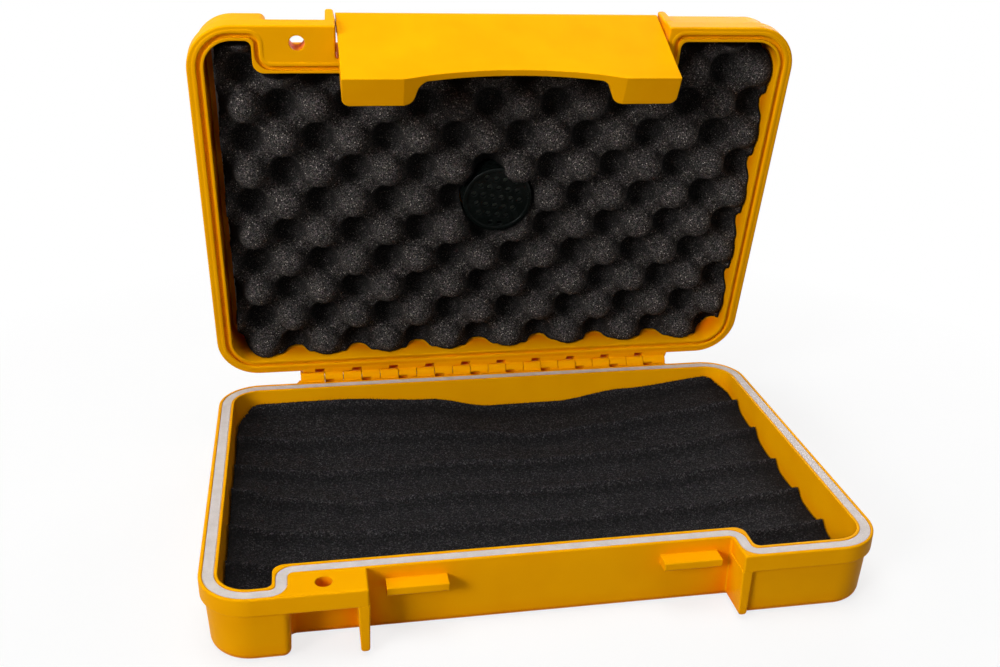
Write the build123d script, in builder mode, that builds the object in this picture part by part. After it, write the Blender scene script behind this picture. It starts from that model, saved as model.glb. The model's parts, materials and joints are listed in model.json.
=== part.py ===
from build123d import *
import os
from math import cos, radians, sin, sqrt, tan

os.makedirs("parts", exist_ok=True)

# Travel humidor: a small moulded case with a grooved foam bed, an egg-crate foam lid and one wide latch.
# X runs across the case, Y from front to back, Z up. The origin is the centre of the underside.
# The lid and the latch are drawn shut and then turned to the angles at which the case stands open.

# Overall sizes
case_half_width = 115.6
case_half_depth = 76.8
base_height = 25.8
closed_height = 46.8
parting_gap = 0.3
corner_radius = 16.8
lid_angle = 77.9
latch_droop = 14.0

# Lap of one moulded feature into the next, and reach of a cut past the surface that it cuts
lap = 0.5
cut_margin = 1.0

# Walls, rim band and body, the same in base and lid
band_height = 6.8
band_edge_radius = 0.7
band_front_bend = 0.5
band_bay_bend = 0.8
body_inset = 1.4
wall_draft = 2.5
floor_thickness = 2.5
bottom_radius = 3.2

# Front bay for the latch, and the padlock ledge left of it
bay_left = -62.4
bay_right = 62.8
bay_wall = -64.5
ledge_left = -86.7
block_right = 65.0
notch_radius = 2.0
rib_thickness = 3.8
rib_foot_thickness = 2.9
rib_proud = 0.3
rib_edge_radius = 0.5
rib_foot_radius = 1.1
base_leg_foot = 1.7
lid_leg_foot = 2.6
padlock_hole = (-76.2, -70.4)
padlock_hole_radius = 2.8

# Rim seal, given by the middle of its run
seal_side = 112.4
seal_front = -74.1
seal_back = 73.4
seal_bay = -62.0
seal_left = -89.4
seal_right = 65.4
seal_corner = 13.4
seal_bend = 4.0
seal_width = 3.8
seal_groove_depth = 2.6
seal_clearance = 0.05
seal_recess = 0.1
seal_crown = 0.35
bead_width = 1.8
bead_shift = 0.5
bead_valley = 1.2
bead_proud = 0.2
bead_crown = 0.6
bead_root = 0.2
lip_width = 1.0
cavity_front_bend = 2.5
cavity_bay_bend = 4.0

# Catch tabs that the latch hooks under, a little right of the middle as the lobes of the latch are
catch_shift = 0.6
tab_inner = 36.7
tab_outer = 57.0
tab_reach = 5.9
tab_bottom = 17.3
tab_top = 20.7
tab_chamfer = 1.0

# Hinge
hinge_y = 80.6
hinge_z = base_height
hinge_start = -82.0
end_knuckle = 10.5
knuckle_pitch = 8.05
knuckle_pairs = 10
knuckle_radius = 2.8
knuckle_gap = 0.3
hinge_pin_radius = 1.0
pin_clearance = 0.05
pin_inset = 0.5
leaf_depth = 6.0
leaf_drop = 0.2
base_leaf_flares = (2.0, 0.0)
lid_leaf_flares = (-1.6, 1.0)
window_width = 4.0
window_depth = 2.2
window_bite = 0.9
notch_level = 1.1
notch_back = 1.0

# Latch
latch_half_width = 61.7
latch_face = -76.3
latch_top = 44.5
latch_bottom = 1.5
latch_thickness = 2.5
latch_barrel_radius = 3.6
latch_pin_radius = 1.25
latch_pin_reach = 65.7
lobe_inner = 37.2
lobe_depth = 11.4
lobe_hook_depth = 6.9
lobe_hook_z = 17.0
lobe_wall = 1.8
lobe_pockets = 2
lobe_sweep = 2.6
lobe_sweep_end = 24.0
lobe_outer_round = 3.0
lobe_inner_round = 3.8
sweep_round = 5.0
stiffener_spacing = 20.0
stiffener_width = 1.6
stiffener_depth = 2.5
stiffener_bottom = 12.0
stiffener_height = 9.3
arch_rise = 5.2
arch_step = 2.2
arch_half_width = 31.5
arch_end = 40.5

# Foam bed in the base, a grooved sheet a little too large for its tray, so that its ends and back curl up
bed_gap = 0.8
bed_back = 69.2
bed_front = -72.0
groove_pitch = 22.5
groove_depth = 2.8
ridge_count = 5
first_ridge = 49.0

# Places across the bed with the level of its ridges at the front and at the back edge
bed_levels = (
    (-106.8, 15.8, 19.8),
    (-72.0, 9.9, 19.6),
    (15.0, 9.5, 11.8),
    (66.0, 10.5, 18.3),
    (107.0, 13.8, 21.8),
)

# Egg-crate foam in the lid
crate_gap = 2.0
knob_pitch_x = 26.8
knob_pitch_y = 27.4
knob_start = (10.5, 11.6)
knob_reach = 5
knob_tip = 27.5
knob_base_radius = 6.8
knob_tip_radius = 4.6
knob_dome = 2.6
saddle_level = 35.3
dimple_level = 39.8
dimple_mouth_radius = 6.5
dimple_floor_radius = 3.6
dimple_dome = 1.4
dome_shoulder = 0.6
dome_fall = 0.2
adhesive_thickness = 0.4

# Humidifier disc
disc_centre = (1.9, -1.8)
disc_radius = 14.4
disc_face = 32.3
disc_depth = 10.5
disc_wall = 1.2
disc_gap = 0.5
grille_thickness = 1.8
grille_recess = 0.5
grille_rim = 1.6
grille_spigot = 1.5
grille_clearance = 0.05
vent_radius = 1.15
vent_pitch = 3.9
vent_row_pitch = 4.0
vent_field = 11.4
vent_turn = 10.0
vent_start = (-1.0, 2.7)
vent_reach = 4
sponge_gap = 0.3

# Places that follow from the sizes above
lid_bottom = base_height + parting_gap
lid_ceiling = closed_height - floor_thickness
band_bottom = base_height - band_height
lid_band_top = lid_bottom + band_height
half_seal = seal_width / 2
pivot_y = latch_face + latch_barrel_radius
pivot_z = latch_top - latch_barrel_radius
cup_mouth = disc_face + grille_thickness
cup_top = disc_face + disc_depth
hinge_axis = Axis((0, hinge_y, hinge_z), (-1, 0, 0))
latch_axis = Axis((0, pivot_y, pivot_z), (-1, 0, 0))


# Closed plan outline of the case: a rounded rectangle with a bay in its front side
def plan_outline(side, front, back, corner, left, right, bay, front_bend, bay_bend):
    points = [
        (-side, front), (left, front), (left, bay), (right, bay),
        (right, front), (side, front), (side, back), (-side, back),
    ]
    bends = [corner, front_bend, bay_bend, bay_bend, front_bend, corner, corner, corner]
    with BuildSketch() as outline:
        with BuildLine():
            FilletPolyline(*points, radius=bends, close=True)
        make_face()
    return outline.sketch


def band_outline():
    return plan_outline(case_half_width, -case_half_depth, case_half_depth, corner_radius,
                        bay_left, bay_right, bay_wall, band_front_bend, band_bay_bend)


def body_outline(inset):
    return plan_outline(case_half_width - inset, inset - case_half_depth, case_half_depth - inset,
                        corner_radius - inset, ledge_left - inset + body_inset, block_right,
                        bay_wall + inset - body_inset, notch_radius, notch_radius)


# Outline at a distance from the middle of the seal, positive towards the outside
def seal_outline(distance):
    return plan_outline(seal_side + distance, seal_front - distance, seal_back + distance,
                        seal_corner + distance, seal_left + distance, seal_right - distance,
                        seal_bay - distance, seal_bend + distance, seal_bend - distance)


def cavity_outline(gap):
    edge = half_seal + lip_width + gap
    return plan_outline(seal_side - edge, seal_front + edge, seal_back - edge,
                        seal_corner - edge, seal_left - edge, seal_right + edge,
                        seal_bay + edge, cavity_front_bend, cavity_bay_bend)


# Centre and width of each knuckle, the even ones on the base and the odd ones on the lid
def knuckle_spans():
    spans = []
    start = hinge_start
    for number in range(2 * knuckle_pairs):
        is_end = number in (0, 2 * knuckle_pairs - 1)
        width = end_knuckle if is_end else knuckle_pitch
        spans.append((start + width / 2, width))
        start += width
    return spans


base_knuckles = knuckle_spans()[0::2]
lid_knuckles = knuckle_spans()[1::2]
hinge_length = 2 * end_knuckle + 2 * (knuckle_pairs - 1) * knuckle_pitch
hinge_end = hinge_start + hinge_length


# Rounded plate at the rim, where base and lid meet
def rim_band(bottom):
    with BuildPart() as band:
        with BuildSketch(Plane.XY.offset(bottom)):
            add(band_outline())
        extrude(amount=band_height)
        fillet(band.faces().sort_by(Axis.Z)[-1].edges(), band_edge_radius)
        fillet(band.faces().sort_by(Axis.Z)[0].edges(), band_edge_radius)
    return band.part


# Body of a case half, standing on its rounded flat side and widening with draft up to the rim band
def case_body(height):
    foot_inset = body_inset + height * tan(radians(wall_draft))
    with BuildPart() as body:
        with BuildSketch():
            add(body_outline(foot_inset))
        extrude(amount=height, taper=-wall_draft)
        fillet(body.faces().sort_by(Axis.Z)[0].edges(), bottom_radius)
    return body.part


# Legs beside the bay, narrower at the foot, for a case half that stands on its flat side
def bay_legs(root, foot):
    bay_sides = (bay_left + rib_proud, bay_right - rib_proud)
    leg_sides = ((bay_sides[0] - rib_thickness, bay_sides[0]), (bay_sides[1], bay_sides[1] + rib_thickness))
    half_foot = rib_foot_thickness / 2
    with BuildPart() as legs:
        for left, right in leg_sides:
            middle = (left + right) / 2
            with BuildSketch(Plane.XZ.offset(case_half_depth)) as profile:
                with BuildLine():
                    Polyline((left, root), (right, root), (middle + half_foot, foot),
                             (middle - half_foot, foot), close=True)
                make_face()
                fillet(profile.vertices().group_by(Axis.Y)[0], rib_foot_radius)
            extrude(amount=-(case_half_depth + bay_wall + cut_margin))
        fillet(legs.faces().sort_by(Axis.Y)[0:2].edges(), rib_edge_radius)
    return legs.part


# Plan of the windows in front of the other half's knuckles, each at one end of its knuckle
def window_plan(other_knuckles, window_side):
    with BuildSketch() as windows:
        for centre, width in other_knuckles:
            window_x = centre + window_side * (width - window_width) / 2
            with Locations((window_x, case_half_depth + (window_depth - window_bite) / 2)):
                Rectangle(window_width, window_depth + window_bite)
    return windows.sketch


# Row of hinge knuckles with its leaf, drawn with the leaf below the axis
def hinge_row(own_knuckles, other_knuckles, flares):
    leaf_root = case_half_depth - cut_margin
    with BuildPart() as row:
        with BuildSketch(Plane.XY.offset(hinge_z - leaf_depth)):
            with BuildLine():
                Polyline((hinge_start - flares[0], leaf_root), (hinge_end + flares[1], leaf_root),
                         (hinge_end, hinge_y), (hinge_start, hinge_y), close=True)
            make_face()
        extrude(amount=leaf_depth - leaf_drop)
        for centre, width in other_knuckles:
            with BuildSketch(Plane.YZ.offset(centre - width / 2)):
                with Locations((hinge_y, hinge_z)):
                    Circle(knuckle_radius + knuckle_gap)
            extrude(amount=width, mode=Mode.SUBTRACT)
        for centre, width in own_knuckles:
            solid_width = width - knuckle_gap
            with BuildSketch(Plane.YZ.offset(centre - solid_width / 2)):
                with Locations((hinge_y, hinge_z)):
                    Circle(knuckle_radius)
            extrude(amount=solid_width)
        with BuildSketch(Plane.YZ.offset(hinge_start - cut_margin)):
            with Locations((hinge_y, hinge_z)):
                Circle(hinge_pin_radius + pin_clearance)
        extrude(amount=hinge_length + 2 * cut_margin, mode=Mode.SUBTRACT)
    return row.part


base_body = case_body(band_bottom + lap)
base_legs = bay_legs(band_bottom + lap, base_leg_foot)
base_band = rim_band(band_bottom)
base_hinge = hinge_row(base_knuckles, lid_knuckles, base_leaf_flares)

# Base shell, moulded in one with its ledge, legs, tabs and hinge knuckles
with BuildPart() as base_shell:
    add(base_body)
    add(base_band)
    add(base_legs)
    add(base_hinge)
    with BuildSketch(Plane.XY.offset(floor_thickness)):
        add(cavity_outline(0))
    extrude(amount=base_height, mode=Mode.SUBTRACT)
    with BuildSketch(Plane.XY.offset(base_height - seal_groove_depth)):
        add(seal_outline(half_seal))
        add(seal_outline(-half_seal), mode=Mode.SUBTRACT)
    extrude(amount=seal_groove_depth + cut_margin, mode=Mode.SUBTRACT)
    with BuildSketch(Plane.XY.offset(band_bottom - cut_margin)):
        with Locations(padlock_hole):
            Circle(padlock_hole_radius)
    extrude(amount=band_height + 2 * cut_margin, mode=Mode.SUBTRACT)
    with BuildSketch(Plane.XY.offset(hinge_z - leaf_depth)):
        add(window_plan(lid_knuckles, -1))
    extrude(amount=leaf_depth + cut_margin, mode=Mode.SUBTRACT)
    tab_root = bay_wall + lap
    tab_front = bay_wall - tab_reach
    for tab_start in (catch_shift + tab_inner, catch_shift - tab_outer):
        with BuildSketch(Plane.YZ.offset(tab_start)):
            with BuildLine():
                Polyline((tab_root, tab_bottom), (tab_front + tab_chamfer, tab_bottom),
                         (tab_front, tab_bottom + tab_chamfer), (tab_front, tab_top),
                         (tab_root, tab_top), close=True)
            make_face()
        extrude(amount=tab_outer - tab_inner)

# Foam-rubber seal ring in the rim groove, with a rounded top
with BuildPart() as rim_gasket:
    with BuildSketch(Plane.XY.offset(base_height - seal_groove_depth)):
        add(seal_outline(half_seal - seal_clearance))
        add(seal_outline(seal_clearance - half_seal), mode=Mode.SUBTRACT)
    extrude(amount=seal_groove_depth - seal_recess)
    fillet(rim_gasket.faces().sort_by(Axis.Z)[-1].edges(), seal_crown)

# Steel hinge pin through all the knuckles
with BuildPart() as hinge_pin:
    with BuildSketch(Plane.YZ.offset(hinge_start + pin_inset)):
        with Locations((hinge_y, hinge_z)):
            Circle(hinge_pin_radius)
    extrude(amount=hinge_length - 2 * pin_inset)


# Height of the foam bed's ridges: level at the front, curling up towards the back edge
def ridge_level(y, front_level, back_level):
    reach = max(y, 0.0) / bed_back
    return front_level + (back_level - front_level) * reach ** 2


def bed_section(x, front_level, back_level):
    ridges = [first_ridge - groove_pitch * number for number in range(ridge_count)]
    crests = [(y, ridge_level(y, front_level, back_level)) for y in [bed_back] + ridges + [bed_front]]
    with BuildSketch(Plane.YZ.offset(x)) as section:
        with BuildLine():
            for start, end in zip(crests[:-1], crests[1:]):
                middle = ((start[0] + end[0]) / 2, (start[1] + end[1]) / 2 - groove_depth)
                ThreePointArc(start, middle, end)
            Polyline(crests[-1], (bed_front, floor_thickness), (bed_back, floor_thickness), crests[0])
        make_face()
    return section.sketch


# Grooved foam bed, cut to the tray's outline
with BuildPart() as base_foam_pad:
    loft([bed_section(*levels) for levels in bed_levels])
    with BuildSketch():
        add(cavity_outline(bed_gap))
    extrude(amount=base_height, mode=Mode.INTERSECT)

# Lid shell, drawn shut above the base as its mirror image, without the tabs
lid_middle = Plane.XY.offset(closed_height / 2)
lid_body = mirror(case_body(closed_height - lid_band_top + lap), about=lid_middle)
lid_legs = mirror(bay_legs(closed_height - lid_band_top + lap, lid_leg_foot), about=lid_middle)
lid_band = rim_band(lid_bottom)
lid_hinge_row = hinge_row(lid_knuckles, base_knuckles, lid_leaf_flares)
lid_hinge = mirror(lid_hinge_row, about=Plane.XY.offset(hinge_z))

with BuildPart() as lid_moulding:
    add(lid_body)
    add(lid_band)
    add(lid_legs)
    add(lid_hinge)
    with BuildSketch(Plane.XY.offset(lid_bottom - cut_margin)):
        add(cavity_outline(0))
    extrude(amount=lid_ceiling - lid_bottom + cut_margin, mode=Mode.SUBTRACT)
    with BuildSketch(Plane.XY.offset(lid_bottom - cut_margin)):
        add(seal_outline(bead_shift))
        add(seal_outline(-half_seal), mode=Mode.SUBTRACT)
    extrude(amount=bead_valley + cut_margin, mode=Mode.SUBTRACT)
    with BuildSketch(Plane.XY.offset(hinge_z + leaf_drop)):
        add(window_plan(base_knuckles, 1))
    extrude(amount=leaf_depth - leaf_drop, mode=Mode.SUBTRACT)
    for centre, width in lid_knuckles:
        notch_start = centre - width / 2 + knuckle_gap / 2
        with BuildSketch(Plane.YZ.offset(notch_start)) as notch:
            with Locations((hinge_y - notch_back + knuckle_radius, hinge_z - notch_level - knuckle_radius)):
                Rectangle(2 * knuckle_radius, 2 * knuckle_radius)
        extrude(amount=window_width, mode=Mode.SUBTRACT)
    with BuildSketch(Plane.XY.offset(lid_bottom - cut_margin)):
        with Locations(padlock_hole):
            Circle(padlock_hole_radius)
    extrude(amount=band_height + 2 * cut_margin, mode=Mode.SUBTRACT)
    with BuildSketch(Plane.YZ.offset(bay_left - rib_thickness - cut_margin)):
        with Locations((pivot_y, pivot_z)):
            Circle(latch_pin_radius + pin_clearance)
    extrude(amount=latch_pin_reach - bay_left + rib_thickness + cut_margin, mode=Mode.SUBTRACT)

# Bead of the lid rim that presses on the seal
with BuildPart() as rim_bead:
    with BuildSketch(Plane.XY.offset(lid_bottom - bead_proud)):
        add(seal_outline(bead_shift + bead_width / 2))
        add(seal_outline(bead_shift - bead_width / 2), mode=Mode.SUBTRACT)
    extrude(amount=bead_proud + bead_valley + bead_root)
    fillet(rim_bead.faces().sort_by(Axis.Z)[0].edges(), bead_crown)

with BuildPart() as lid_shell:
    add(lid_moulding.part)
    add(rim_bead.part)


# Middles of the foam knobs, each row half a pitch to the side of the next, or of the hollows between them
def knob_places(shift):
    places = []
    for row in range(-2 * knob_reach, 2 * knob_reach + 1):
        for column in range(-knob_reach, knob_reach + 1):
            x = knob_start[0] + (column + row % 2 / 2) * knob_pitch_x + shift
            y = knob_start[1] + row * knob_pitch_y / 2
            if abs(x) < seal_side and abs(y) < case_half_depth:
                places.append((x, y, 0))
    return places


# Turned foam shape with a domed end: a knob that points down, or the hollow beside it
def foam_turning(base_level, base_radius, end_level, end_radius, dome):
    inwards = 1 if end_level < base_level else -1
    shoulder = end_level + dome * inwards
    root = base_level + lap * inwards
    with BuildPart() as turning:
        with BuildSketch(Plane.XZ):
            with BuildLine():
                ThreePointArc((0, end_level),
                              (end_radius * dome_shoulder, end_level + (shoulder - end_level) * dome_fall),
                              (end_radius, shoulder))
                Polyline((end_radius, shoulder), (base_radius, base_level), (base_radius, root), (0, root),
                         (0, end_level))
            make_face()
        revolve(axis=Axis.Z)
    return turning.part


knob = foam_turning(saddle_level, knob_base_radius, knob_tip, knob_tip_radius, knob_dome)
dimple = foam_turning(saddle_level, dimple_mouth_radius, dimple_level, dimple_floor_radius, dimple_dome)

# Egg-crate foam glued into the lid, with a hole for the humidifier disc
with BuildPart() as lid_foam_pad:
    with BuildSketch(Plane.XY.offset(saddle_level)):
        Rectangle(2 * seal_side, 2 * case_half_depth)
    extrude(amount=lid_ceiling - adhesive_thickness - saddle_level)
    with Locations(*knob_places(0)):
        add(knob)
    with Locations(*knob_places(knob_pitch_x / 2)):
        add(dimple, mode=Mode.SUBTRACT)
    with BuildSketch(Plane.XY.offset(knob_tip - cut_margin)):
        add(cavity_outline(crate_gap))
        with Locations(disc_centre):
            Circle(disc_radius + disc_gap, mode=Mode.SUBTRACT)
    extrude(amount=lid_ceiling, mode=Mode.INTERSECT)

# Adhesive sheet that holds the lid foam
with BuildPart() as lid_foam_adhesive:
    with BuildSketch(Plane.XY.offset(lid_ceiling - adhesive_thickness)):
        add(cavity_outline(crate_gap))
        with Locations(disc_centre):
            Circle(disc_radius + disc_gap, mode=Mode.SUBTRACT)
    extrude(amount=adhesive_thickness)

# Adhesive pad under the humidifier disc
with BuildPart() as humidifier_adhesive:
    with BuildSketch(Plane.XY.offset(cup_top)):
        with Locations(disc_centre):
            Circle(disc_radius - 2 * disc_wall)
    extrude(amount=lid_ceiling - cup_top)

# Cup of the humidifier disc
with BuildPart() as humidifier_cup:
    with BuildSketch(Plane.XY.offset(cup_mouth)):
        with Locations(disc_centre):
            Circle(disc_radius)
    extrude(amount=cup_top - cup_mouth)
    fillet(humidifier_cup.faces().sort_by(Axis.Z)[-1].edges(), disc_wall / 2)
    with BuildSketch(Plane.XY.offset(cup_mouth)):
        with Locations(disc_centre):
            Circle(disc_radius - disc_wall)
    extrude(amount=cup_top - cup_mouth - disc_wall, mode=Mode.SUBTRACT)

# Sponge that holds the water
with BuildPart() as humidifier_sponge:
    with BuildSketch(Plane.XY.offset(cup_mouth + grille_spigot + sponge_gap)):
        with Locations(disc_centre):
            Circle(disc_radius - disc_wall - sponge_gap)
    extrude(amount=cup_top - cup_mouth - disc_wall - grille_spigot - 2 * sponge_gap)


# Staggered rows of vents inside the grille's rim
def vent_places():
    turn = radians(vent_turn)
    places = []
    for row in range(-vent_reach, vent_reach + 1):
        for column in range(-vent_reach, vent_reach + 1):
            along = (column + row % 2 / 2) * vent_pitch
            across = row * vent_row_pitch
            x = vent_start[0] + along * cos(turn) - across * sin(turn)
            y = vent_start[1] + along * sin(turn) + across * cos(turn)
            if sqrt(x * x + y * y) < vent_field:
                places.append((disc_centre[0] + x, disc_centre[1] + y))
    return places


# Perforated grille that snaps into the cup
with BuildPart() as humidifier_grille:
    with BuildSketch(Plane.XY.offset(disc_face)):
        with Locations(disc_centre):
            Circle(disc_radius)
    extrude(amount=grille_thickness)
    fillet(humidifier_grille.faces().sort_by(Axis.Z)[0].edges(), grille_recess)
    with BuildSketch(Plane.XY.offset(disc_face)):
        with Locations(disc_centre):
            Circle(disc_radius - grille_rim)
    extrude(amount=grille_recess, mode=Mode.SUBTRACT)
    with BuildSketch(Plane.XY.offset(cup_mouth)):
        with Locations(disc_centre):
            Circle(disc_radius - disc_wall - grille_clearance)
            Circle(disc_radius - 2 * disc_wall, mode=Mode.SUBTRACT)
    extrude(amount=grille_spigot)
    with BuildSketch(Plane.XY.offset(disc_face)):
        with Locations(*vent_places()):
            Circle(vent_radius)
    extrude(amount=grille_thickness, mode=Mode.SUBTRACT)

# Steel pin that the latch swings on
with BuildPart() as latch_pin:
    with BuildSketch(Plane.YZ.offset(-latch_pin_reach)):
        with Locations((pivot_y, pivot_z)):
            Circle(latch_pin_radius)
    extrude(amount=2 * latch_pin_reach - pin_inset)

# Places in the latch, seen from its inner side
plate_inside = latch_face + latch_thickness
lobe_inside = latch_face + lobe_depth
barrel_back = pivot_y + latch_barrel_radius
barrel_foot = pivot_z - sqrt(latch_barrel_radius ** 2 - (plate_inside - pivot_y) ** 2)
barrel_slant = latch_barrel_radius * cos(radians(45))


# Plan of one end lobe of the latch, thick at the end and swept back into the plate towards the middle
def lobe_plan(inner):
    with BuildSketch(Plane.XY.offset(latch_bottom)) as plan:
        with BuildLine():
            Polyline((lobe_sweep_end, latch_face + lap), (latch_half_width, latch_face + lap),
                     (latch_half_width, lobe_inside), (inner, lobe_inside),
                     (inner - lobe_sweep, plate_inside), (lobe_sweep_end, plate_inside - lap),
                     close=True)
        make_face()
        fillet(plan.vertices().group_by(Axis.Y)[2], sweep_round)
        fillet(plan.vertices().group_by(Axis.Y)[-1].sort_by(Axis.X)[0], lobe_inner_round)
        fillet(plan.vertices().group_by(Axis.Y)[-1].sort_by(Axis.X)[-1], lobe_outer_round)
    return plan.sketch


# Hooked lobe of the latch with its two pockets, from its inner side to the latch's right end
def latch_lobe(inner):
    pocket_width = (latch_half_width - inner - (lobe_pockets + 1) * lobe_wall) / lobe_pockets
    with BuildPart() as lobe:
        add(lobe_plan(inner))
        extrude(amount=lobe_hook_z - latch_bottom)
        with BuildSketch(Plane.YZ):
            with BuildLine():
                Polyline((lobe_inside, latch_bottom), (lobe_inside + cut_margin, latch_bottom),
                         (lobe_inside + cut_margin, lobe_hook_z), (latch_face + lobe_hook_depth, lobe_hook_z),
                         close=True)
            make_face()
        extrude(amount=latch_half_width, mode=Mode.SUBTRACT)
        for number in range(lobe_pockets):
            pocket_middle = inner + lobe_wall + pocket_width / 2 + number * (pocket_width + lobe_wall)
            with BuildSketch(Plane.XZ.offset(-plate_inside)):
                with Locations((pocket_middle, (latch_bottom + lobe_hook_z) / 2)):
                    Rectangle(pocket_width, lobe_hook_z - latch_bottom - 2 * lobe_wall)
            extrude(amount=-lobe_depth, mode=Mode.SUBTRACT)
    return lobe.part


right_lobe = latch_lobe(lobe_inner + catch_shift)
left_lobe = mirror(latch_lobe(lobe_inner - catch_shift), about=Plane.YZ)

# Wide latch: barrel, plate, stiffeners and the two lobes, with the finger arch between them
with BuildPart() as latch:
    with BuildSketch(Plane.YZ.offset(-latch_half_width)):
        with BuildLine():
            Polyline((plate_inside, barrel_foot), (plate_inside, latch_bottom), (latch_face, latch_bottom),
                     (latch_face, pivot_z))
            ThreePointArc((latch_face, pivot_z), (pivot_y, latch_top), (barrel_back, pivot_z))
            ThreePointArc((barrel_back, pivot_z), (pivot_y + barrel_slant, pivot_z - barrel_slant),
                          (plate_inside, barrel_foot))
        make_face()
    extrude(amount=2 * latch_half_width)
    add(right_lobe)
    add(left_lobe)
    for rib_x in (-stiffener_spacing, 0, stiffener_spacing):
        with BuildSketch(Plane.XY.offset(stiffener_bottom)):
            with Locations((rib_x, plate_inside + stiffener_depth / 2)):
                Rectangle(stiffener_width, stiffener_depth)
        extrude(amount=stiffener_height)
    arch_bottom = latch_bottom - cut_margin
    arch_shoulder = latch_bottom + arch_step
    arch_left = catch_shift - arch_half_width
    arch_right = catch_shift + arch_half_width
    with BuildSketch(Plane.XZ.offset(cut_margin - latch_face)):
        with BuildLine():
            Polyline((arch_right, arch_shoulder), (catch_shift + arch_end, latch_bottom),
                     (catch_shift + arch_end, arch_bottom), (catch_shift - arch_end, arch_bottom),
                     (catch_shift - arch_end, latch_bottom), (arch_left, arch_shoulder))
            ThreePointArc((arch_left, arch_shoulder), (catch_shift, latch_bottom + arch_rise),
                          (arch_right, arch_shoulder))
        make_face()
    extrude(amount=-lobe_depth - 2 * cut_margin, mode=Mode.SUBTRACT)
    with BuildSketch(Plane.YZ.offset(-latch_half_width - cut_margin)):
        with Locations((pivot_y, pivot_z)):
            Circle(latch_pin_radius + pin_clearance)
    extrude(amount=2 * (latch_half_width + cut_margin), mode=Mode.SUBTRACT)


def opened(piece):
    return piece.rotate(hinge_axis, lid_angle)


def drooped(piece):
    return piece.rotate(latch_axis, -latch_droop)


pieces = {
    "base_shell": base_shell.part,
    "rim_gasket": rim_gasket.part,
    "base_foam_pad": base_foam_pad.part,
    "hinge_pin": hinge_pin.part,
    "lid_shell": opened(lid_shell.part),
    "lid_foam_adhesive": opened(lid_foam_adhesive.part),
    "lid_foam_pad": opened(lid_foam_pad.part),
    "humidifier_adhesive": opened(humidifier_adhesive.part),
    "humidifier_cup": opened(humidifier_cup.part),
    "humidifier_sponge": opened(humidifier_sponge.part),
    "humidifier_grille": opened(humidifier_grille.part),
    "latch_pin": opened(latch_pin.part),
    "latch": opened(drooped(latch.part)),
}
for name, piece in pieces.items():
    piece.label = name
    export_step(piece, f"parts/{name}.step")
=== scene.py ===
import json
import math
import random

import bmesh
import bpy
from mathutils import Matrix, Vector, noise


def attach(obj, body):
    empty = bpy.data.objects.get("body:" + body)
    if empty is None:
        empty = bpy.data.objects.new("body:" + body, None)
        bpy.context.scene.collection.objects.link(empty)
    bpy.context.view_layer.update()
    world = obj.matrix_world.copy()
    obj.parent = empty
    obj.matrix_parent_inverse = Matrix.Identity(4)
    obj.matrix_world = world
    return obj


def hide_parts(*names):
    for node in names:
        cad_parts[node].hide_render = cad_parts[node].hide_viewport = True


noise.seed_set(7)  # without a seed, noise_vector starts from the clock and the foams differ from run to run
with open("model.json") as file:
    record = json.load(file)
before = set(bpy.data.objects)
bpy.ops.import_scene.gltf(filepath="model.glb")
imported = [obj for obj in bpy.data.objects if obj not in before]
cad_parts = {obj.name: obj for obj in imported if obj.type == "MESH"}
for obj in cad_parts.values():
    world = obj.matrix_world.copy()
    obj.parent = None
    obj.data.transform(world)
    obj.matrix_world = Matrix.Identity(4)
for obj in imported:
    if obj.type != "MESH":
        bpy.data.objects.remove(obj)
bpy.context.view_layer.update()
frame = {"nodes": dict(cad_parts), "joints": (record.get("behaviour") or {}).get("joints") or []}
print("frame loaded")

# The travel humidor: lengths in the dictionaries are millimetres, meshes are metres
mm = 0.001
hinge = next(joint for joint in frame["joints"] if joint["name"] == "lid_hinge")
hingePoint = Vector(hinge["pos_m"])
lidAngle = math.radians(-hinge["range_deg"][0])
openLid = (Matrix.Translation(hingePoint)
           @ Matrix.Rotation(lidAngle, 4, Vector(hinge["axis"]))
           @ Matrix.Translation(-hingePoint))  # from the shut lid to the lid as it stands


# Nodes and materials
def addNode(tree, kind, inputs=None, **settings):
    node = tree.nodes.new("ShaderNode" + kind)
    for name, value in settings.items():
        setattr(node, name, value)
    for name, value in (inputs or {}).items():
        if isinstance(value, bpy.types.NodeSocket):
            tree.links.new(value, node.inputs[name])
        else:
            node.inputs[name].default_value = value
    return node


def mathNode(tree, operation, first, second=0.0, third=0.0):
    return addNode(tree, "Math", {0: first, 1: second, 2: third}, operation=operation).outputs[0]


def rangeNode(tree, value, fromLow, fromHigh, toLow, toHigh):
    inputs = {"Value": value, "From Min": fromLow, "From Max": fromHigh, "To Min": toLow, "To Max": toHigh}
    return addNode(tree, "MapRange", inputs).outputs["Result"]


def mixColour(tree, factor, first, second, blend="MIX"):
    node = addNode(tree, "Mix", {0: factor, 6: first, 7: second}, data_type="RGBA", blend_type=blend)
    return node.outputs[2]


def noiseNode(tree, vector, scale, detail=3.0, roughness=0.5):
    inputs = {"Vector": vector, "Scale": scale, "Detail": detail, "Roughness": roughness}
    return addNode(tree, "TexNoise", inputs).outputs["Fac"]


def opennessNode(tree, reach):
    return addNode(tree, "AmbientOcclusion", {"Distance": reach}, samples=8).outputs["AO"]


def newGroup(name, inputs, outputs):
    tree = bpy.data.node_groups.new(name, "ShaderNodeTree")
    for socketName, kind, value in inputs:
        socket = tree.interface.new_socket(socketName, in_out="INPUT", socket_type="NodeSocket" + kind)
        if value is not None:
            socket.default_value = value
    for socketName, kind in outputs:
        tree.interface.new_socket(socketName, in_out="OUTPUT", socket_type="NodeSocket" + kind)
    return tree, tree.nodes.new("NodeGroupInput").outputs, tree.nodes.new("NodeGroupOutput").inputs


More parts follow.
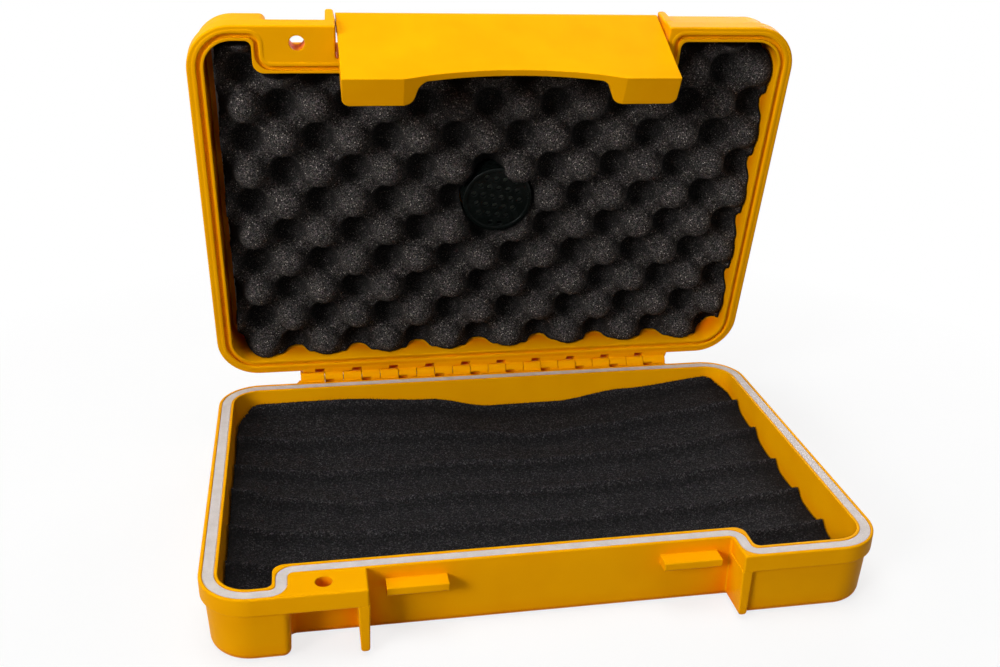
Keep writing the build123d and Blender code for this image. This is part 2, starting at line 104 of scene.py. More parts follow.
def placeGroup(tree, group, inputs):
    node = tree.nodes.new("ShaderNodeGroup")
    node.node_tree = group
    for name, value in inputs.items():
        if isinstance(value, bpy.types.NodeSocket):
            tree.links.new(value, node.inputs[name])
        else:
            node.inputs[name].default_value = value
    return node.outputs


def newMaterial(name, **constants):
    made = bpy.data.materials.new(name)
    made.use_nodes = True
    tree = made.node_tree
    surface = tree.nodes["Principled BSDF"]
    for socketName, value in constants.items():
        surface.inputs[socketName.replace("_", " ")].default_value = value
    place = tree.nodes.new("ShaderNodeTexCoord").outputs["Object"]
    return made, tree, surface, place


# Mask of the outward edges, found where the rounded normal leaves the true one
def makeEdgeMask():
    tree, given, out = newGroup("edgeMask", [("Radius", "Float", 0.0006)],
                                [("Mask", "Float"), ("Normal", "Vector")])
    rounded = addNode(tree, "Bevel", {"Radius": given["Radius"]}, samples=6).outputs[0]
    flat = tree.nodes.new("ShaderNodeNewGeometry").outputs["Normal"]
    facing = addNode(tree, "VectorMath", {0: rounded, 1: flat}, operation="DOT_PRODUCT").outputs["Value"]
    tree.links.new(rangeNode(tree, facing, 0.999, 0.86, 0.0, 1.0), out["Mask"])
    tree.links.new(rounded, out["Normal"])
    return tree


# Fine grain of a moulded surface with a slow unevenness
def makeMouldGrain():
    tree, given, out = newGroup(
        "mouldGrain",
        [("Vector", "Vector", None), ("Grain", "Float", 2600.0), ("Waves", "Float", 90.0)],
        [("Height", "Float"), ("Patches", "Float"), ("Specks", "Float")])
    grain = noiseNode(tree, given["Vector"], given["Grain"], 2.0, 0.6)
    waves = noiseNode(tree, given["Vector"], given["Waves"], 2.0, 0.5)
    height = mathNode(tree, "MULTIPLY_ADD", grain, 0.55, waves)
    tree.links.new(height, out["Height"])
    tree.links.new(waves, out["Patches"])
    tree.links.new(grain, out["Specks"])
    return tree


# Open cells of a foam: struts of very uneven brightness round dark pores, a few of them painted as glints
def makeFoamCells():
    tree, given, out = newGroup(
        "foamCells",
        [("Vector", "Vector", None), ("Scale", "Float", 1900.0), ("Sparkle", "Float", 0.97)],
        [("Struts", "Float"), ("Sparks", "Float"), ("Height", "Float"), ("Tint", "Color")])
    place, scale = given["Vector"], given["Scale"]
    clumpScale = mathNode(tree, "MULTIPLY", scale, 0.61)
    cells = addNode(tree, "TexVoronoi", {"Vector": place, "Scale": scale}, feature="F1").outputs
    coarse = addNode(tree, "TexVoronoi", {"Vector": place, "Scale": clumpScale}, feature="F1").outputs
    dice = addNode(tree, "SeparateColor", {0: cells["Color"]}).outputs
    slow = addNode(tree, "SeparateColor", {0: coarse["Color"]}).outputs
    bright = mathNode(tree, "POWER", dice[0], 2.2)
    clumps = rangeNode(tree, slow[0], 0.0, 1.0, 0.45, 1.55)
    core = rangeNode(tree, cells["Distance"], 0.25, 0.75, 1.0, 0.35)
    struts = mathNode(tree, "MULTIPLY", mathNode(tree, "MULTIPLY", bright, clumps), core)
    lit = mathNode(tree, "GREATER_THAN", dice[1], given["Sparkle"])
    tree.links.new(struts, out["Struts"])
    tree.links.new(mathNode(tree, "MULTIPLY", lit, core), out["Sparks"])
    tree.links.new(mathNode(tree, "MULTIPLY_ADD", slow[1], 0.7, dice[2]), out["Height"])
    tree.links.new(coarse["Color"], out["Tint"])
    return tree


edgeMask = makeEdgeMask()
mouldGrain = makeMouldGrain()
foamCells = makeFoamCells()

# shade, shadeReach and shadeRange set the painted shade of deep hollows; grooveReach and grooveRange hold it
# back in narrow grooves; edge is the colour of the painted highlight on outward edges
shellFinish = {
    "colour": (0.93, 0.405, 0.0006, 1), "deep": (0.89, 0.372, 0.0004, 1), "edge": (1.0, 0.50, 0.0015, 1),
    "shade": (0.90, 0.12, 0.0, 1), "shadeReach": 0.016, "shadeRange": (0.62, 0.08),
    "grooveReach": 0.0025, "grooveRange": (0.50, 0.88),
    "edgeRadius": 0.0006, "roughness": (0.36, 0.48), "grain": 2600.0, "waves": 45.0,
}


# Satin moulded plastic of the shells and the latch, with painted shade: redder in deep hollows, where light
# only comes off more of the same
def makeShellPlastic():
    made, tree, surface, place = newMaterial("shellPlastic", Specular_IOR_Level=0.02,
                                             Specular_Tint=(1.0, 0.72, 0.25, 1))
    edge = placeGroup(tree, edgeMask, {"Radius": shellFinish["edgeRadius"]})
    grain = placeGroup(tree, mouldGrain,
                       {"Vector": place, "Grain": shellFinish["grain"], "Waves": shellFinish["waves"]})
    body = mixColour(tree, rangeNode(tree, grain["Patches"], 0.35, 0.65, 0.0, 1.0),
                     shellFinish["deep"], shellFinish["colour"])
    # Painted highlight: outward edges are lightened halfway towards the edge colour
    lit = mixColour(tree, mathNode(tree, "MULTIPLY", edge["Mask"], 0.5), body, shellFinish["edge"])
    # Painted shade: occlusion turns the colour towards the red shade in deep hollows, less so in narrow
    # grooves
    openness = opennessNode(tree, shellFinish["shadeReach"])
    brightest, darkest = shellFinish["shadeRange"]
    narrow = opennessNode(tree, shellFinish["grooveReach"])
    grooveLow, grooveHigh = shellFinish["grooveRange"]
    wide = rangeNode(tree, narrow, grooveLow, grooveHigh, 0.15, 1.0)
    paintedShadeMask = mathNode(tree, "MULTIPLY", rangeNode(tree, openness, brightest, darkest, 0.0, 1.0), wide)
    shaded = mixColour(tree, paintedShadeMask, lit, shellFinish["shade"])
    low, high = shellFinish["roughness"]
    tree.links.new(shaded, surface.inputs["Base Color"])
    tree.links.new(rangeNode(tree, grain["Specks"], 0.3, 0.7, low, high), surface.inputs["Roughness"])
    bump = addNode(tree, "Bump", {"Strength": 0.10, "Distance": 0.00012, "Height": grain["Height"],
                                  "Normal": edge["Normal"]})
    tree.links.new(bump.outputs[0], surface.inputs["Normal"])
    return made


gasketFinish = {"colour": (0.67, 0.605, 0.575, 1), "dark": (0.58, 0.52, 0.49, 1), "cells": 3200.0}


# Closed-cell sponge rubber of the seal
def makeGasketRubber():
    made, tree, surface, place = newMaterial("gasketRubber", Roughness=0.78, Specular_IOR_Level=0.25)
    cells = placeGroup(tree, foamCells, {"Vector": place, "Scale": gasketFinish["cells"], "Sparkle": 1.0})
    clouds = noiseNode(tree, place, 260.0, 3.0, 0.6)
    body = mixColour(tree, rangeNode(tree, clouds, 0.3, 0.7, 0.0, 1.0),
                     gasketFinish["dark"], gasketFinish["colour"])
    spotted = mixColour(tree, mathNode(tree, "MULTIPLY", cells["Struts"], 0.3), body, (0.80, 0.74, 0.71, 1))
    tree.links.new(spotted, surface.inputs["Base Color"])
    bump = addNode(tree, "Bump", {"Strength": 0.35, "Distance": 0.0002, "Height": cells["Height"]})
    tree.links.new(bump.outputs[0], surface.inputs["Normal"])
    return made


# reach, open and depth set the painted shade of each foam's hollows; spark is the colour of painted glints;
# crest scales the painted light and shade along the bed's crests
foamFinish = {
    "foamBed": {"pore": (0.0040, 0.0036, 0.0039, 1), "strut": (0.062, 0.058, 0.060, 1),
                "spark": (0.10, 0.095, 0.10, 1), "scale": 2400.0, "sparkle": 0.985, "tint": 0.08,
                "reach": 0.014, "open": (0.78, 0.985), "depth": 0.45, "crest": 1.0},
    "foamCrate": {"pore": (0.011, 0.0098, 0.0094, 1), "strut": (0.19, 0.170, 0.160, 1),
                  "spark": (0.60, 0.54, 0.48, 1), "scale": 2900.0, "sparkle": 0.982, "tint": 0.10,
                  "reach": 0.012, "open": (0.36, 0.90), "depth": 0.12},
    "foamSponge": {"pore": (0.42, 0.47, 0.41, 1), "strut": (0.84, 0.92, 0.80, 1),
                   "spark": (0.95, 0.98, 0.92, 1), "scale": 2600.0, "sparkle": 0.90, "tint": 0.1,
                   "reach": 0.002, "open": (0.0, 0.1), "depth": 0.9},
}


# Charcoal polyurethane foam, and the lighter sponge of the humidifier, with painted shade in their hollows
def makeFoam(name):
    finish = foamFinish[name]
    made, tree, surface, place = newMaterial(name, Roughness=0.85, Specular_IOR_Level=0.12)
    cells = placeGroup(tree, foamCells,
                       {"Vector": place, "Scale": finish["scale"], "Sparkle": finish["sparkle"]})
    body = mixColour(tree, cells["Struts"], finish["pore"], finish["strut"])
    tinted = mixColour(tree, finish["tint"], body, cells["Tint"], "OVERLAY")
    # Painted glints: a few cells take the spark colour
    sparkled = mixColour(tree, cells["Sparks"], tinted, finish["spark"])
    # Painted shade: occlusion darkens the foam in pits and hollows, down to the depth share of its colour
    openness = opennessNode(tree, finish["reach"])
    low, high = finish["open"]
    light = rangeNode(tree, openness, low, high, finish["depth"], 1.0)
    # Painted light and shade along the bed's crests, read from a mesh attribute
    if "crest" in finish:
        ridge = addNode(tree, "Attribute", attribute_name="crestPaintedLightAndShade").outputs["Fac"]
        light = mathNode(tree, "MULTIPLY", light, mathNode(tree, "MULTIPLY_ADD", ridge, finish["crest"], 1.0))
    tree.links.new(mixColour(tree, light, (0, 0, 0, 1), sparkled), surface.inputs["Base Color"])
    bump = addNode(tree, "Bump", {"Strength": 0.8, "Distance": 0.0004, "Height": cells["Height"]})
    tree.links.new(bump.outputs[0], surface.inputs["Normal"])
    return made


# Glossy black plastic of the humidifier disc, with painted highlights on its outward edges
def makeDiscPlastic():
    made, tree, surface, place = newMaterial("discPlastic", Specular_IOR_Level=0.12)
    edge = placeGroup(tree, edgeMask, {"Radius": 0.0003})
    grain = placeGroup(tree, mouldGrain, {"Vector": place, "Grain": 2200.0, "Waves": 300.0})
    # Painted highlight: outward edges are a little lighter
    tree.links.new(mixColour(tree, edge["Mask"], (0.003, 0.0045, 0.004, 1), (0.007, 0.010, 0.009, 1)),
                   surface.inputs["Base Color"])
    tree.links.new(rangeNode(tree, grain["Patches"], 0.3, 0.7, 0.16, 0.34), surface.inputs["Roughness"])
    bump = addNode(tree, "Bump", {"Strength": 0.12, "Distance": 0.0002, "Height": grain["Height"],
                                  "Normal": edge["Normal"]})
    tree.links.new(bump.outputs[0], surface.inputs["Normal"])
    return made


# Drawn steel wire of the two pins, brushed along its length
def makePinSteel():
    made, tree, surface, place = newMaterial("pinSteel", Metallic=1.0)
    stretched = addNode(tree, "Mapping", {"Vector": place, "Scale": (40.0, 3000.0, 3000.0)}).outputs[0]
    streaks = noiseNode(tree, stretched, 1.0, 3.0, 0.6)
    tree.links.new(mixColour(tree, streaks, (0.13, 0.12, 0.115, 1), (0.30, 0.28, 0.27, 1)),
                   surface.inputs["Base Color"])
    tree.links.new(rangeNode(tree, streaks, 0.3, 0.7, 0.24, 0.42), surface.inputs["Roughness"])
    bump = addNode(tree, "Bump", {"Strength": 0.15, "Distance": 0.00005, "Height": streaks})
    tree.links.new(bump.outputs[0], surface.inputs["Normal"])
    return made


# Pale double-sided adhesive sheet
def makeAdhesive():
    made, tree, surface, place = newMaterial("adhesive", Roughness=0.5)
    weave = noiseNode(tree, place, 1800.0, 3.0, 0.7)
    tree.links.new(mixColour(tree, weave, (0.44, 0.42, 0.36, 1), (0.62, 0.60, 0.54, 1)),
                   surface.inputs["Base Color"])
    bump = addNode(tree, "Bump", {"Strength": 0.2, "Distance": 0.0001, "Height": weave})
    tree.links.new(bump.outputs[0], surface.inputs["Normal"])
    return made


shellPlastic = makeShellPlastic()
gasketRubber = makeGasketRubber()
bedFoam = makeFoam("foamBed")
crateFoam = makeFoam("foamCrate")
spongeFoam = makeFoam("foamSponge")
discPlastic = makeDiscPlastic()
pinSteel = makePinSteel()
adhesive = makeAdhesive()

# The hard pieces keep the shapes of the frame
hardPieces = {
    "base_shell": shellPlastic, "lid_shell": shellPlastic, "latch": shellPlastic,
    "rim_gasket": gasketRubber, "hinge_pin": pinSteel, "latch_pin": pinSteel,
    "humidifier_cup": discPlastic, "humidifier_grille": discPlastic, "humidifier_sponge": spongeFoam,
    "lid_foam_adhesive": adhesive, "humidifier_adhesive": adhesive,
}
for nodeName, finish in hardPieces.items():
    slots = frame["nodes"][nodeName].data.materials
    slots.clear()
    slots.append(finish)
print("hard pieces dressed")

# Inside walls of both trays, as the shut case has them
tray = {
    "side": 109.45, "front": -71.15, "back": 70.45, "corner": 11.55,
    "bayLeft": -92.35, "bayRight": 68.35, "bayWall": -59.05, "bend": 4.0,
}


# Signed distance to the tray's walls less a gap, negative inside
def trayDistance(x, y, gap):
    middle = (tray["front"] + tray["back"]) / 2
    corner = tray["corner"] - gap
    overX = abs(x) - tray["side"] + gap + corner
    overY = abs(y - middle) - (tray["back"] - tray["front"]) / 2 + gap + corner
    outer = math.hypot(max(overX, 0), max(overY, 0)) + min(max(overX, overY), 0) - corner
    bayX = max(tray["bayLeft"] - x, x - tray["bayRight"]) - gap + tray["bend"]
    bayY = y - tray["bayWall"] - gap + tray["bend"]
    bay = math.hypot(max(bayX, 0), max(bayY, 0)) + min(max(bayX, bayY), 0) - tray["bend"]
    return max(outer, -bay)


# Foam sheet cut to an outline: a fine grid shaped by a height, with a slight roughness
def foamSheet(distance, height, spec):
    bm = bmesh.new()
    width, depth = 2 * tray["side"], tray["back"] - tray["front"]
    bmesh.ops.create_grid(bm, x_segments=int(width / spec["pitch"]), y_segments=int(depth / spec["pitch"]),
                          size=0.5)
    middle = (tray["back"] + tray["front"]) / 2
    outside = []
    for vert in bm.verts:
        x, y = vert.co.x * width, vert.co.y * depth + middle
        away = distance(x, y)
        if away > 0.55 * spec["pitch"]:
            outside.append(vert)
        elif away > -0.7 * spec["pitch"]:
            step = 0.05
            slopeX = (distance(x + step, y) - distance(x - step, y)) / (2 * step)
            slopeY = (distance(x, y + step) - distance(x, y - step)) / (2 * step)
            x, y = x - away * slopeX, y - away * slopeY
        vert.co = (x, y, 0)
    bmesh.ops.delete(bm, geom=outside, context="VERTS")
    for vert in bm.verts:
        x, y = vert.co.x, vert.co.y
        rough = noise.noise(Vector((x, y, 0)) * spec["roughScale"]) * spec["rough"]
        vert.co.z = height(x, y) + rough
    return bm


# Cut walls of a foam sheet in a few rough steps, and its flat back
def foamWalls(bm, backLevel, spec, inset=None):
    rim = [edge for edge in bm.edges if edge.is_boundary]
    levels = spec["wallSteps"]
    for number in range(1, levels + 1):
        grown = bmesh.ops.extrude_edge_only(bm, edges=rim)["geom"]
        fresh = [item for item in grown if isinstance(item, bmesh.types.BMVert)]
        rim = [item for item in grown if isinstance(item, bmesh.types.BMEdge)]
        for vert in fresh:
            vert.co.z += (backLevel - vert.co.z) / (levels - number + 1)
            if number < levels:
                jitter = noise.noise_vector(vert.co * 0.9) * spec["wallRough"]
                vert.co += Vector((jitter.x, jitter.y, 0))
            if inset:
                inset(vert)
    bmesh.ops.triangle_fill(bm, use_beauty=True, use_dissolve=False, edges=rim)


# Short torn struts standing off the foam, made a few at a time so that each batch stays quick
def foamStrands(bm, places, spec):
    batch = 150
    for start in range(0, len(places), batch):
        tuft = bmesh.new()
        for point, direction, length in places[start:start + batch]:
            turn = direction.to_track_quat("Z", "Y").to_matrix().to_4x4()
            middle = Matrix.Translation(point + direction * (length * 0.5 - spec["strandRoot"]))
            bmesh.ops.create_cone(tuft, cap_ends=False, segments=3, radius1=spec["strandRadius"], radius2=0,
                                  depth=length, matrix=middle @ turn)
        carrier = bpy.data.meshes.new("tuft")
        tuft.to_mesh(carrier)
        tuft.free()
        bm.from_mesh(carrier)
        bpy.data.meshes.remove(carrier)


def strandPlaces(bm, chance, spec, seed):
    dice = random.Random(seed)
    places = []
    for vert in bm.verts:
        roll = dice.random()
        lean = Vector((dice.uniform(-1, 1), dice.uniform(-1, 1), dice.uniform(-1, 1)))
        length = dice.uniform(*spec["strandLength"])
        if roll < chance(vert):
            direction = (vert.normal * 1.1 + lean * 0.75).normalized()
            places.append((vert.co.copy(), direction, length))
    return places


def finishPiece(bm, name, material, matrix):
    bmesh.ops.transform(bm, matrix=matrix @ Matrix.Scale(mm, 4), verts=bm.verts)
    mesh = bpy.data.meshes.new(name)
    bm.to_mesh(mesh)
    bm.free()
    mesh.materials.append(material)
    mesh.shade_smooth()
    made = bpy.data.objects.new(name, mesh)
    bpy.context.scene.collection.objects.link(made)
    return made


# Grooved bed of the base: each ridge's height at a few places across the tray, as the curled sheet lies
foamBedSpec = {
    "gap": 0.8, "pitch": 0.62, "floor": 2.55, "grooveDepth": 3.6, "crestWidth": 0.04, "crestPower": 4.2,
    "wander": 0.8, "crestPaintedHighlight": (2.3, 1.0), "crestPaintedShadeBand": (-0.42, 2.4, 3.2),
    "strandFoot": 6, "strandEdge": (-0.7, 0.85), "strandCrest": (0.8, 0.45), "strandField": 0.05,
    "rough": 0.16, "roughScale": 1.4, "wallSteps": 5, "wallRough": 0.35,
    "strandLength": (0.5, 1.1), "strandRadius": 0.075, "strandRoot": 0.12,
    "ridges": (
        (69.2, ((-107, 19.9), (-66, 20.2), (-27, 17.9), (0, 13.1), (30, 13.3), (62, 17.7), (107, 21.9))),
        (49.0, ((-107, 16.1), (-82, 13.4), (-33, 14.3), (-8, 12.1), (16, 9.1), (46, 11.9), (77, 16.0),
                (107, 19.3))),
        (26.5, ((-107, 15.5), (-90, 12.2), (-72, 10.0), (-16, 10.7), (17, 9.4), (55, 10.8), (80, 13.3),
                (107, 17.1))),
        (4.0, ((-107, 18.3), (-90, 12.7), (-61, 9.0), (-27, 10.3), (12, 9.2), (60, 10.3), (86, 13.1),
               (107, 14.5))),
        (-18.5, ((-107, 16.5), (-88, 12.0), (-60, 9.9), (-26, 10.4), (24, 9.2), (60, 10.1), (96, 13.1),
                 (107, 14.1))),
        (-41.0, ((-107, 16.6), (-92, 13.2), (-60, 10.0), (0, 9.7), (60, 9.9), (85, 11.3), (107, 13.7))),
        (-64.0, ((-107, 16.6), (-92, 13.3), (-60, 9.9), (60, 9.9), (90, 11.5), (107, 13.7))),
        (-86.5, ((-107, 16.6), (107, 13.7))),
    ),
}


# Smooth height of one ridge between its given places
def ridgeHeight(points, x):
    x = min(max(x, points[0][0]), points[-1][0])
    for (startX, startZ), (endX, endZ) in zip(points[:-1], points[1:]):
        if x <= endX:
            share = (x - startX) / (endX - startX)
            return startZ + (endZ - startZ) * share * share * (3 - 2 * share)
    return points[-1][1]


# Slow drift of the ridges off their straight rows
def bedWander(x, y):
    return noise.noise(Vector((x * 0.03, y * 0.05, 3))) * foamBedSpec["wander"]


def bedHeight(x, y):
    ridges = foamBedSpec["ridges"]
    y = min(max(y + bedWander(x, y), ridges[-1][0]), ridges[0][0])
    for (startY, startPoints), (endY, endPoints) in zip(ridges[:-1], ridges[1:]):
        if y >= endY:
            share = (startY - y) / (startY - endY)
            crest = ridgeHeight(startPoints, x) * (1 - share) + ridgeHeight(endPoints, x) * share
            toCrest = 1 - abs(2 * share - 1)
            soft = math.sqrt(toCrest ** 2 + foamBedSpec["crestWidth"] ** 2) - foamBedSpec["crestWidth"]
            return crest - foamBedSpec["grooveDepth"] * (1 - (1 - soft) ** foamBedSpec["crestPower"])
    return ridges[-1][1][0][1]


# Way from the nearest crest in millimetres, positive behind it
def crestOffset(x, y):
    rows = [row[0] for row in foamBedSpec["ridges"]]
    y += bedWander(x, y)
    return min((y - row for row in rows), key=abs)


# Painted highlight along a crest, and painted shade in a band just in front of it
def crestPaintedLightAndShade(vert):
    offset = crestOffset(vert.co.x, vert.co.y)
    line, band = foamBedSpec["crestPaintedHighlight"], foamBedSpec["crestPaintedShadeBand"]
    return (line[0] * math.exp(-((offset - 0.2) / line[1]) ** 2)
            + band[0] * math.exp(-((offset + band[2]) / band[1]) ** 2))


def makeFoamBed():
    spec = foamBedSpec
    bm = foamSheet(lambda x, y: trayDistance(x, y, spec["gap"]), bedHeight, spec)
    foamWalls(bm, spec["floor"], spec)
    bm.normal_update()

    def chance(vert):
        if vert.co.z < spec["strandFoot"]:
            return 0
        edgeReach, edgeChance = spec["strandEdge"]
        if trayDistance(vert.co.x, vert.co.y, spec["gap"]) > edgeReach:
            return edgeChance
        crestReach, crestChance = spec["strandCrest"]
        return crestChance if abs(crestOffset(vert.co.x, vert.co.y)) < crestReach else spec["strandField"]

    foamStrands(bm, strandPlaces(bm, chance, spec, 11), spec)
    # Painted crest highlight and shade for each vertex on the bed's top
    lights = [crestPaintedLightAndShade(vert) if vert.co.z > spec["floor"] + 2 else 0 for vert in bm.verts]
    made = finishPiece(bm, "foam_bed", bedFoam, Matrix.Identity(4))
    made.data.attributes.new("crestPaintedLightAndShade", "FLOAT", "POINT").data.foreach_set("value", lights)
    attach(made, "base")
    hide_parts("base_foam_pad")
    print("foam bed made", len(made.data.vertices))
    return made


makeFoamBed()

# Egg-crate foam of the lid, in the shut lid's places: knobs point down to the tip level
foamCrateSpec = {
    "gap": 1.7, "shift": (1.2, 1.0), "lift": 4.5, "liftReach": 5.0, "pitch": 0.64,
    "back": 43.85, "tip": 27.4, "saddle": 34.6, "pit": 41.6, "ragged": 0.54,
    "strandFoot": 37, "strandEdge": (-0.8, 0.35), "strandField": 0.10,
    "knobStep": (13.4, 13.7), "knobStart": (10.5, 11.6), "knobRadius": 6.3, "flank": 0.95, "flankSlope": 3.0,
    "pitRadius": 5.6, "blend": 3.2, "wander": 0.8, "droop": 0.7,
    "discMiddle": (1.9, -1.8), "holeRadius": 14.9,
    "overlap": 4.4, "overlapAngle": -68.0, "overlapSpread": 21.0,
    "discFace": 32.05, "rough": -0.2, "roughScale": 1.3, "wallSteps": 6, "wallRough": 0.5,
    "strandLength": (0.45, 0.95), "strandRadius": 0.085, "strandRoot": 0.12,
}


# Smaller of two heights with a soft change between them
def softMin(first, second, blend):
    share = max(blend - abs(first - second), 0) / blend
    return min(first, second) - share * share * blend / 4


# Distance to the nearest of the staggered places, with every second row shifted by half a step
def staggered(x, y, stepX, stepY):
    nearest = 1e9
    row = math.floor(y / stepY)
    for number in (row, row + 1):
        shift = stepX * (number % 2)
        column = round((x - shift) / (2 * stepX))
        nearest = min(nearest, math.hypot(x - shift - 2 * stepX * column, y - number * stepY))
    return nearest


# Dome that runs out into a steep flank, as its fall behind the tip
def domeFall(away, radius):
    spec = foamCrateSpec
    flank = radius * spec["flank"]
    if away < flank:
        return radius - math.sqrt(radius ** 2 - away ** 2)
    return radius - math.sqrt(radius ** 2 - flank ** 2) + (away - flank) * spec["flankSlope"]


def crateHeight(x, y):
    spec = foamCrateSpec
    drift = noise.noise_vector(Vector((x * 0.035, y * 0.035, 7))) * spec["wander"]
    stepX, stepY = spec["knobStep"]
    placeX, placeY = x + drift.x - spec["knobStart"][0], y + drift.y - spec["knobStart"][1]
    knob = spec["tip"] + domeFall(staggered(placeX, placeY, stepX, stepY), spec["knobRadius"])
    pit = spec["pit"] - domeFall(staggered(placeX - stepX, placeY, stepX, stepY), spec["pitRadius"])
    toEdge = max(min(tray["side"] - x, tray["back"] - y), 0)
    lift = spec["lift"] * math.exp(-toEdge / spec["liftReach"])
    land = -softMin(-spec["saddle"], -pit, spec["blend"]) - lift
    return softMin(knob, land, spec["blend"]) + noise.noise(Vector((x * 0.06, y * 0.06, 1))) * spec["droop"]


# The round hole for the disc, with one knob left hanging over its edge
def holeRadius(x, y):
    spec = foamCrateSpec
    turn = math.atan2(y - spec["discMiddle"][1], x - spec["discMiddle"][0])
    angle = math.degrees(turn)
    away = (angle - spec["overlapAngle"] + 180) % 360 - 180
    uneven = noise.noise(Vector((math.cos(turn), math.sin(turn), 0)) * 2.5) * 0.5
    return spec["holeRadius"] + uneven - spec["overlap"] * math.exp(-(away / spec["overlapSpread"]) ** 2)


def holeDistance(x, y):
    spec = foamCrateSpec
    return holeRadius(x, y) - math.hypot(x - spec["discMiddle"][0], y - spec["discMiddle"][1])


# Ragged cut of the crate foam
def crateDistance(x, y):
    spec = foamCrateSpec
    ragged = noise.noise(Vector((x * 0.09, y * 0.09, 5))) * spec["ragged"]
    shiftX, shiftY = spec["shift"]
    return max(trayDistance(x - shiftX, y - shiftY, spec["gap"]) + ragged, holeDistance(x, y))


# Walls of the hole step out to the disc's own width behind its face
def clearDisc(vert):
    spec = foamCrateSpec
    away = Vector((vert.co.x - spec["discMiddle"][0], vert.co.y - spec["discMiddle"][1], 0))
    if away.length < spec["holeRadius"] + 2 and vert.co.z > spec["discFace"]:
        grown = away.normalized() * max(away.length, spec["holeRadius"])
        vert.co.x = spec["discMiddle"][0] + grown.x
        vert.co.y = spec["discMiddle"][1] + grown.y


def makeFoamCrate():
    spec = foamCrateSpec
    bm = foamSheet(crateDistance, crateHeight, spec)
    foamWalls(bm, spec["back"], spec, clearDisc)
    bmesh.ops.reverse_faces(bm, faces=bm.faces)
    bm.normal_update()

    def chance(vert):
        if vert.co.z > spec["strandFoot"]:
            return 0
        edgeReach, edgeChance = spec["strandEdge"]
        return edgeChance if crateDistance(vert.co.x, vert.co.y) > edgeReach else spec["strandField"]

    foamStrands(bm, strandPlaces(bm, chance, spec, 23), spec)
    made = finishPiece(bm, "foam_crate", crateFoam, openLid)
    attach(made, "lid")
    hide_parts("lid_foam_pad")
    print("foam crate made", len(made.data.vertices))
    return made


makeFoamCrate()


# Camera at the photograph's place and angle
cameraFit = {
    "place": (-0.07559, -0.36300, 0.23491), "yaw": 11.492, "pitch": 24.267, "roll": 1.873,
    "focalPixels": 1097.54, "middle": (517.38, 357.47), "frame": (1000, 667), "sensor": 36.0,
}


def makeCamera():
    fit = cameraFit
    yaw, pitch, roll = (math.radians(fit[name]) for name in ("yaw", "pitch", "roll"))
    forward = Vector((math.sin(yaw) * math.cos(pitch), math.cos(yaw) * math.cos(pitch), -math.sin(pitch)))
    level = Vector((math.cos(yaw), -math.sin(yaw), 0))
    upright = level.cross(forward)
    right = level * math.cos(roll) + upright * math.sin(roll)
    up = upright * math.cos(roll) - level * math.sin(roll)
    data = bpy.data.cameras.new("photoCamera")
    made = bpy.data.objects.new("photoCamera", data)
    bpy.context.scene.collection.objects.link(made)
    made.matrix_world = Matrix.Translation(fit["place"]) @ Matrix((right, up, -forward)).transposed().to_4x4()
    width, height = fit["frame"]
    data.sensor_width = fit["sensor"]
    data.lens = fit["focalPixels"] * fit["sensor"] / width
    data.shift_x = (width / 2 - fit["middle"][0]) / width
    data.shift_y = (fit["middle"][1] - height / 2) / width
    data.clip_start = 0.01
    bpy.context.scene.camera = made


makeCamera()

# Soft studio light from above and from the left, and a white room
lamps = {
    "overhead": {"place": (-0.15, -0.10, 1.05), "target": (0, 0.0, 0.05), "size": 0.6, "power": 7.0,
                 "spread": 180},
    "left": {"place": (-0.75, -0.60, 0.50), "target": (0, 0.05, 0.17), "size": 0.36, "power": 0.80,
             "spread": 50},
    "behind": {"place": (0.55, 1.05, 0.60), "target": (0, 0.09, 0.08), "size": 0.6, "power": 4.5,
               "spread": 180},
}
room = {"light": 0.17, "white": 1.0, "floorShadow": 0.22, "floorLevel": -0.0001, "shadowReach": (0.16, 0.34)}


def makeLamps():
    for name, lamp in lamps.items():
        data = bpy.data.lights.new(name, "AREA")
        data.size = lamp["size"]
        data.energy = lamp["power"]
        data.spread = math.radians(lamp["spread"])
        made = bpy.data.objects.new(name, data)
        bpy.context.scene.collection.objects.link(made)
        made.location = lamp["place"]
        aim = Vector(lamp["target"]) - Vector(lamp["place"])
        made.rotation_euler = aim.to_track_quat("-Z", "Y").to_euler()


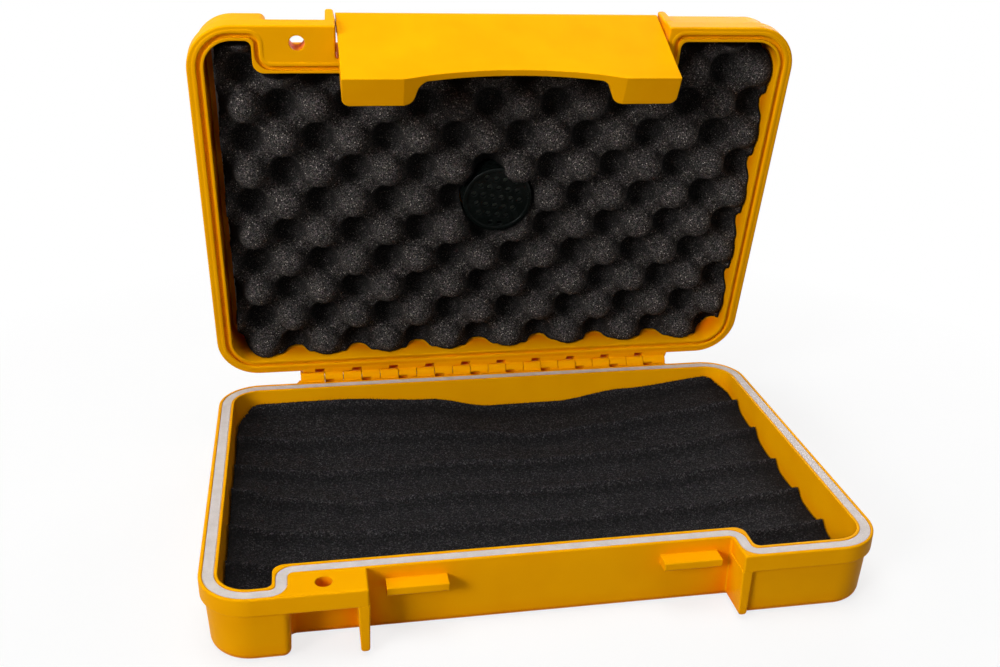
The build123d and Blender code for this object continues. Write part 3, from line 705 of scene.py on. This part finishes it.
# One where the camera, a mirror or a glass looks straight at a surface
def seenRay(tree):
    path = tree.nodes.new("ShaderNodeLightPath").outputs
    straight = mathNode(tree, "MAXIMUM", path["Is Camera Ray"], path["Is Glossy Ray"])
    return mathNode(tree, "MAXIMUM", straight, path["Is Transmission Ray"])


def makeRoom():
    world = bpy.data.worlds.new("whiteRoom")
    bpy.context.scene.world = world
    world.use_nodes = True
    tree = world.node_tree
    strength = rangeNode(tree, seenRay(tree), 0.0, 1.0, room["light"], room["white"])
    tree.links.new(strength, tree.nodes["Background"].inputs["Strength"])
    tree.nodes["Background"].inputs["Color"].default_value = (1, 1, 1, 1)

    bm = bmesh.new()
    bmesh.ops.create_grid(bm, x_segments=2, y_segments=2, size=3.0)
    bmesh.ops.translate(bm, vec=(0, 0, room["floorLevel"]), verts=bm.verts)
    mesh = bpy.data.meshes.new("floor")
    bm.to_mesh(mesh)
    bm.free()
    made, tree, surface, place = newMaterial("floorPaper", Roughness=0.9, Specular_IOR_Level=0.0)
    paper = noiseNode(tree, place, 40.0, 3.0, 0.6)
    seen = seenRay(tree)
    sheet = mixColour(tree, paper, (0.86, 0.86, 0.86, 1), (0.90, 0.90, 0.90, 1))
    tree.links.new(mixColour(tree, seen, (0.35, 0.34, 0.33, 1), sheet), surface.inputs["Base Color"])
    glow = addNode(tree, "Emission", {"Color": (1, 1, 1, 1), "Strength": room["white"]}).outputs[0]
    away = addNode(tree, "VectorMath", {0: place}, operation="LENGTH").outputs["Value"]
    near, far = room["shadowReach"]
    plain = rangeNode(tree, away, near, far, 1 - room["floorShadow"], 1.0)
    share = mathNode(tree, "MULTIPLY", seen, plain)
    mixed = addNode(tree, "MixShader", {0: share, 1: surface.outputs[0], 2: glow}).outputs[0]
    tree.links.new(mixed, tree.nodes["Material Output"].inputs["Surface"])
    mesh.materials.append(made)
    floor = bpy.data.objects.new("floor", mesh)
    bpy.context.scene.collection.objects.link(floor)


makeLamps()
makeRoom()
bpy.context.scene.view_settings.view_transform = "Standard"
print("camera, light and floor set")
